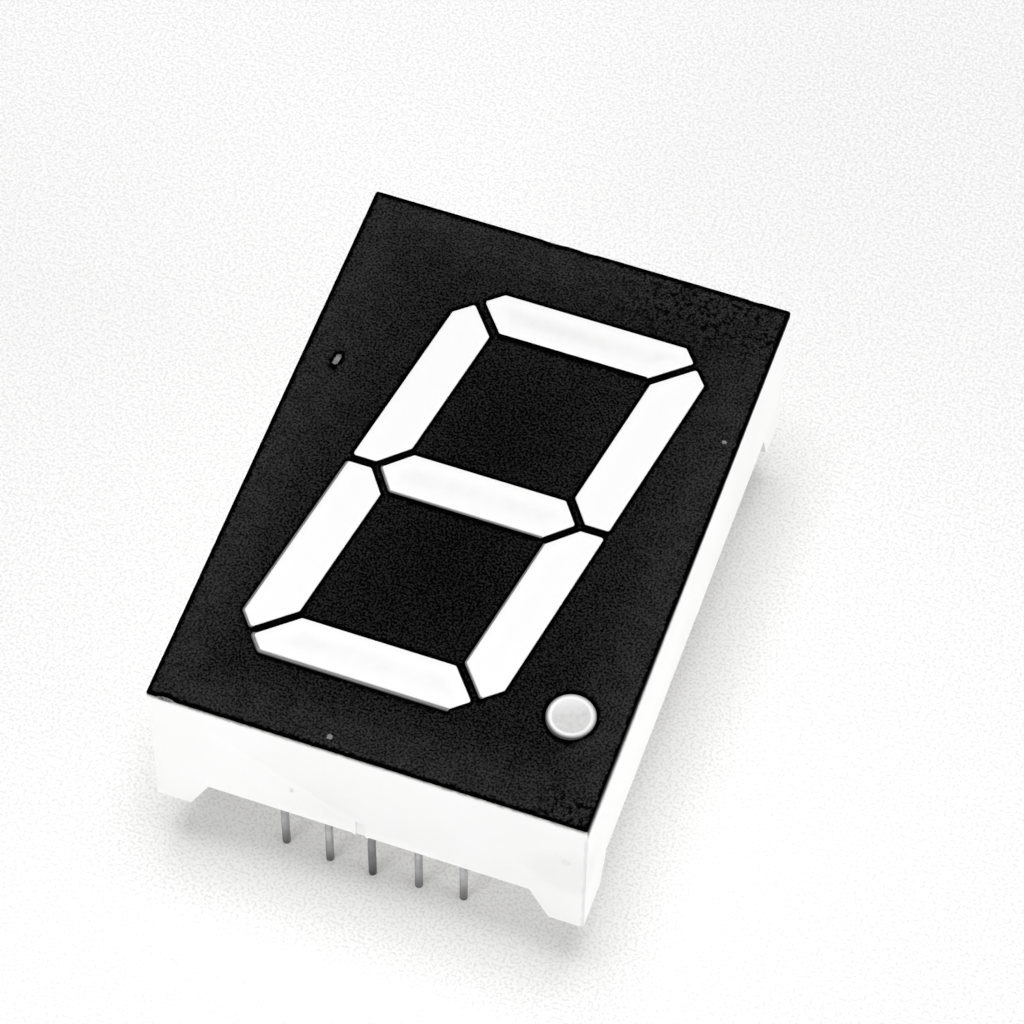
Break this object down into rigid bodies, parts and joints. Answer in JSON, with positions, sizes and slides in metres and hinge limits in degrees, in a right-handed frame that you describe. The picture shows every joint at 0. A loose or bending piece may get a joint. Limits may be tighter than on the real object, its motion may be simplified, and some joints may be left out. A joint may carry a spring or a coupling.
{
  "type": "seven segment display",
  "caption": "Seven segment numeric display with a slanted digit and a decimal point in a white housing with a black face, through-hole pins in two rows.",
  "frame": {"origin": "middle of the body in plan, in the plane of the pin tips", "axes": "+Z out of the printed face, +Y towards the top of the digit, +X to its right, so the decimal point is at +X, -Y"},
  "size_m": [0.024, 0.034, 0.0155],
  "materials": {
    "white_moulding": "fine satin moulding",
    "black_ink": "matte screen print with fine mottling",
    "milky_resin": "milky diffusing resin, satin surface",
    "dot_resin": "milky diffusing resin, satin surface, slightly greyer",
    "board_laminate": "glass-filled laminate under solder mask",
    "copper": "etched copper foil",
    "die_crystal": "semiconductor crystal",
    "gold_wire": "drawn gold wire",
    "solder": "bright solder",
    "potting_resin": "cast potting resin",
    "tinned_pin": "dull tin plating"
  },
  "bodies": {
    "root": {"reflector_housing": "white_moulding", "face_print": "black_ink", "segment_a": "milky_resin", "segment_b": "milky_resin", "segment_c": "milky_resin", "segment_d": "milky_resin", "segment_e": "milky_resin", "segment_f": "milky_resin", "segment_g": "milky_resin", "decimal_point": "dot_resin", "circuit_board": "board_laminate", "copper_tracks": "copper", "led_dies": "die_crystal", "bond_wires": "gold_wire", "solder_joints": "solder", "back_resin": "potting_resin", "pin_1": "tinned_pin", "pin_2": "tinned_pin", "pin_3": "tinned_pin", "pin_4": "tinned_pin", "pin_5": "tinned_pin", "pin_6": "tinned_pin", "pin_7": "tinned_pin", "pin_8": "tinned_pin", "pin_9": "tinned_pin", "pin_10": "tinned_pin"}
  },
  "joints": []
}
